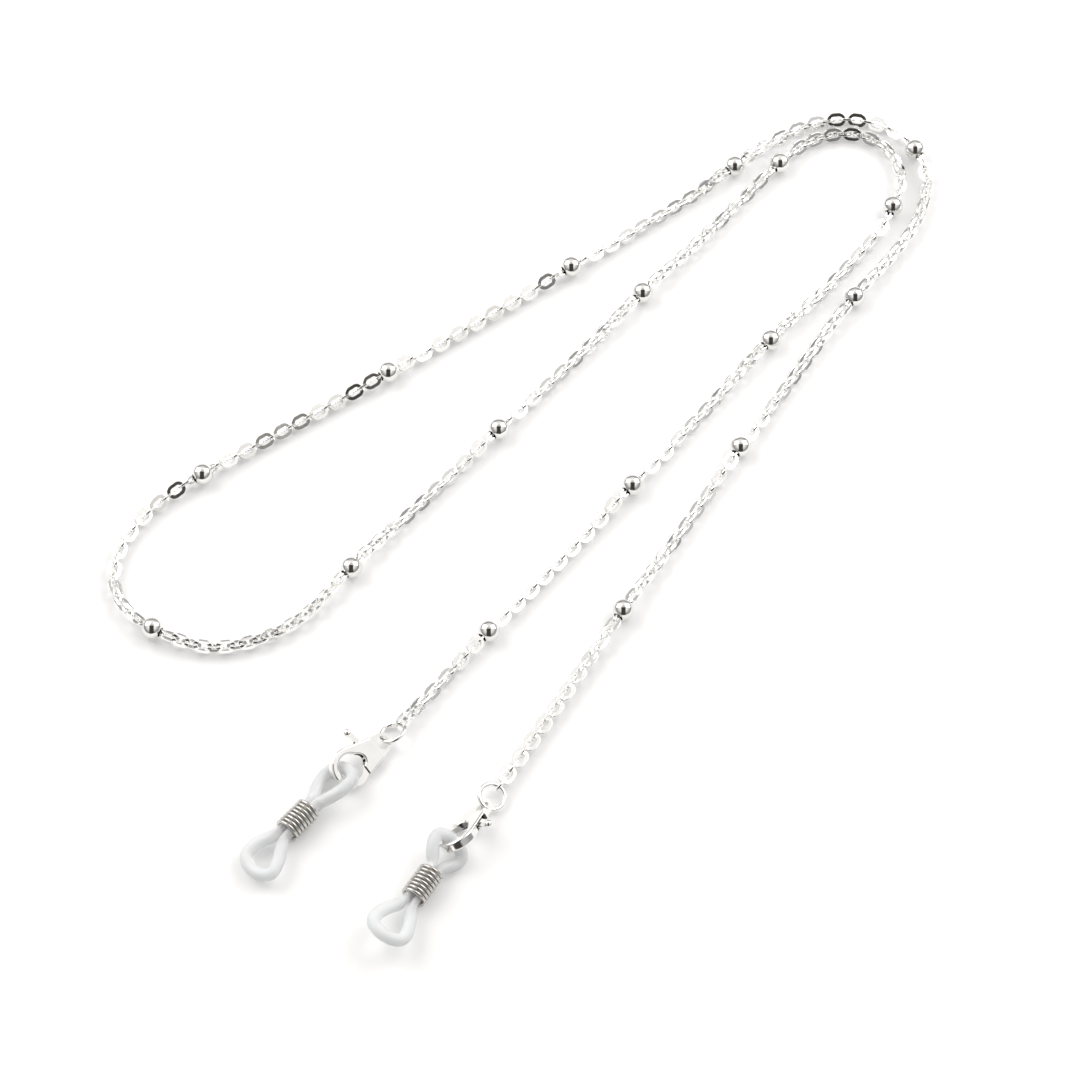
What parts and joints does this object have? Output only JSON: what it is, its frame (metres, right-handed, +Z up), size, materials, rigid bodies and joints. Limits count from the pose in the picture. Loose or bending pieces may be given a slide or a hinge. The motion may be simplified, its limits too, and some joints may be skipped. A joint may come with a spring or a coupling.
{
  "type": "eyeglasses chain strap",
  "caption": "Beaded silver cable chain strap for eyeglasses with lobster clasps and silicone temple loops tightened by sliding wire coils, lying folded in three",
  "frame": {"origin": "centre of the footprint of the folded strap, on the surface it lies on", "axes": "+X from the two silicone loops towards the far folds, +Z up off the surface"},
  "size_m": [0.2046, 0.098, 0.0068],
  "materials": {
    "silver_chain": "bright polished silver plate on beads and stamped flat links",
    "steel_findings": "polished stainless clasps, pins, levers and jump rings",
    "nickel_wire": "bright drawn nickel-plated wire",
    "silicone": "clear, slightly milky silicone cord with a satin surface"
  },
  "bodies": {
    "chain_01": {"chain_run_01": "silver_chain", "bead_01": "silver_chain"},
    "chain_02": {"chain_run_02": "silver_chain", "bead_02": "silver_chain"},
    "chain_03": {"chain_run_03": "silver_chain", "bead_03": "silver_chain"},
    "chain_04": {"chain_run_04": "silver_chain", "bead_04": "silver_chain"},
    "chain_05": {"chain_run_05": "silver_chain", "bead_05": "silver_chain"},
    "chain_06": {"chain_run_06": "silver_chain", "bead_06": "silver_chain"},
    "chain_07": {"chain_run_07": "silver_chain", "bead_07": "silver_chain"},
    "chain_08": {"chain_run_08": "silver_chain", "bead_08": "silver_chain"},
    "chain_09": {"chain_run_09": "silver_chain", "bead_09": "silver_chain"},
    "chain_10": {"chain_run_10": "silver_chain", "bead_10": "silver_chain"},
    "chain_11": {"chain_run_11": "silver_chain", "bead_11": "silver_chain"},
    "chain_12": {"chain_run_12": "silver_chain", "bead_12": "silver_chain"},
    "chain_13": {"chain_run_13": "silver_chain", "bead_13": "silver_chain"},
    "chain_14": {"chain_run_14": "silver_chain", "bead_14": "silver_chain"},
    "chain_15": {"chain_run_15": "silver_chain", "bead_15": "silver_chain"},
    "chain_16": {"chain_run_16": "silver_chain", "bead_16": "silver_chain"},
    "chain_17": {"chain_run_17": "silver_chain", "bead_17": "silver_chain"},
    "ring_one": {"jump_ring_one": "steel_findings"},
    "clasp_one": {"clasp_body_one": "steel_findings", "clasp_pin_one": "steel_findings", "clasp_spring_one": "nickel_wire"},
    "lever_one": {"clasp_lever_one": "steel_findings"},
    "loop_one": {"silicone_loop_one": "silicone"},
    "coil_one": {"coil_sleeve_one": "nickel_wire"},
    "ring_two": {"jump_ring_two": "steel_findings"},
    "clasp_two": {"clasp_body_two": "steel_findings", "clasp_pin_two": "steel_findings", "clasp_spring_two": "nickel_wire"},
    "lever_two": {"clasp_lever_two": "steel_findings"},
    "loop_two": {"silicone_loop_two": "silicone"},
    "coil_two": {"coil_sleeve_two": "nickel_wire"}
  },
  "joints": [
    {"name": "chain_bend_01", "type": "hinge", "parent": "chain_02", "child": "chain_01", "pos_m": [-0.03317, -0.01656, 0.00205], "axis": [0.0296, -0.9996, 0], "range_deg": [-20, 0]},
    {"name": "chain_bend_02", "type": "hinge", "parent": "chain_03", "child": "chain_02", "pos_m": [0.00796, -0.0152, 0.00205], "axis": [0.0427, -0.9991, 0], "range_deg": [-20, 0]},
    {"name": "chain_bend_03", "type": "hinge", "parent": "chain_04", "child": "chain_03", "pos_m": [0.05037, -0.01337, 0.00205], "axis": [-0.0018, -1, 0], "range_deg": [-20, 0]},
    {"name": "chain_bend_04", "type": "hinge", "parent": "chain_05", "child": "chain_04", "pos_m": [0.09048, -0.00886, 0.00205], "axis": [0.4552, -0.8904, 0], "range_deg": [-20, 0]},
    {"name": "chain_bend_05", "type": "hinge", "parent": "chain_06", "child": "chain_05", "pos_m": [0.07474, 0.01269, 0.00203], "axis": [0.0052, 1, 0], "range_deg": [-20, 0]},
    {"name": "chain_bend_06", "type": "hinge", "parent": "chain_07", "child": "chain_06", "pos_m": [0.03289, 0.01205, 0.00205], "axis": [-0.0192, 0.9998, 0], "range_deg": [-20, 0]},
    {"name": "chain_bend_07", "type": "hinge", "parent": "chain_08", "child": "chain_07", "pos_m": [-0.00896, 0.01151, 0.00205], "axis": [-0.0086, 1, 0], "range_deg": [-20, 0]},
    {"name": "chain_bend_08", "type": "hinge", "parent": "chain_09", "child": "chain_08", "pos_m": [-0.0496, 0.01082, 0.00205], "axis": [-0.0825, 0.9966, 0], "range_deg": [-20, 0]},
    {"name": "chain_bend_09", "type": "hinge", "parent": "chain_09", "child": "chain_10", "pos_m": [-0.07895, 0.03391, 0.00204], "axis": [1, 0.0055, 0], "range_deg": [0, 20]},
    {"name": "chain_bend_10", "type": "hinge", "parent": "chain_10", "child": "chain_11", "pos_m": [-0.0441, 0.04481, 0.00205], "axis": [-0.2328, -0.9725, 0], "range_deg": [0, 20]},
    {"name": "chain_bend_11", "type": "hinge", "parent": "chain_11", "child": "chain_12", "pos_m": [-0.00409, 0.03476, 0.00205], "axis": [-0.2275, -0.9738, 0], "range_deg": [0, 20]},
    {"name": "chain_bend_12", "type": "hinge", "parent": "chain_12", "child": "chain_13", "pos_m": [0.03764, 0.02547, 0.00204], "axis": [-0.2099, -0.9777, 0], "range_deg": [0, 20]},
    {"name": "chain_bend_13", "type": "hinge", "parent": "chain_13", "child": "chain_14", "pos_m": [0.07762, 0.01817, 0.00205], "axis": [-0.1185, -0.9929, 0], "range_deg": [0, 20]},
    {"name": "chain_bend_14", "type": "hinge", "parent": "chain_14", "child": "chain_15", "pos_m": [0.09792, -0.0093, 0.00204], "axis": [-0.825, 0.5651, 0], "range_deg": [0, 20]},
    {"name": "chain_bend_15", "type": "hinge", "parent": "chain_15", "child": "chain_16", "pos_m": [0.05958, -0.01938, 0.00205], "axis": [-0.1068, 0.9943, 0], "range_deg": [0, 20]},
    {"name": "chain_bend_16", "type": "hinge", "parent": "chain_16", "child": "chain_17", "pos_m": [0.0185, -0.02565, 0.00204], "axis": [-0.1644, 0.9864, 0], "range_deg": [0, 20]},
    {"name": "ring_one_swing", "type": "hinge", "parent": "chain_01", "child": "ring_one", "pos_m": [-0.06233, -0.01786, 0.00173], "axis": [-0.0721, 0.9974, 0], "range_deg": [0, 20]},
    {"name": "clasp_one_swing", "type": "hinge", "parent": "ring_one", "child": "clasp_one", "pos_m": [-0.06703, -0.01794, 0.00173], "axis": [-0.0153, 0.8745, -0.4848], "range_deg": [0, 20]},
    {"name": "lever_one_press", "type": "hinge", "parent": "clasp_one", "child": "lever_one", "pos_m": [-0.07077, -0.01827, 0.00183], "axis": [-0.073, 0.5029, -0.8613], "range_deg": [0, 6], "stiffness_Nm_per_rad": 0.002, "springref_deg": -8.59, "deforming": ["clasp_spring_one"]},
    {"name": "loop_one_swing", "type": "hinge", "parent": "clasp_one", "child": "loop_one", "pos_m": [-0.07567, -0.01736, 0.00278], "axis": [-0.0231, 0.8826, -0.4695], "range_deg": [0, 20]},
    {"name": "coil_one_slide", "type": "slide", "parent": "loop_one", "child": "coil_one", "axis": [-0.9997, -0.0262, 0], "range_m": [-0.001, 0.001]},
    {"name": "ring_two_swing", "type": "hinge", "parent": "chain_17", "child": "ring_two", "pos_m": [-0.05999, -0.03936, 0.00173], "axis": [-0.1651, 0.9863, 0], "range_deg": [0, 20]},
    {"name": "clasp_two_swing", "type": "hinge", "parent": "ring_two", "child": "clasp_two", "pos_m": [-0.06462, -0.04017, 0.00173], "axis": [-0.1632, 0.9254, 0.342], "range_deg": [0, 20]},
    {"name": "lever_two_press", "type": "hinge", "parent": "clasp_two", "child": "lever_two", "pos_m": [-0.06836, -0.04017, 0.00199], "axis": [0.0721, 0.6909, 0.7193], "range_deg": [0, 6], "stiffness_Nm_per_rad": 0.002, "springref_deg": -8.59, "deforming": ["clasp_spring_two"]},
    {"name": "loop_two_swing", "type": "hinge", "parent": "clasp_two", "child": "loop_two", "pos_m": [-0.07368, -0.04108, 0.0034], "axis": [-0.1281, 0.8091, 0.5736], "range_deg": [0, 20]},
    {"name": "coil_two_slide", "type": "slide", "parent": "loop_two", "child": "coil_two", "axis": [-0.9877, -0.1564, 0], "range_m": [-0.001, 0.001]}
  ]
}
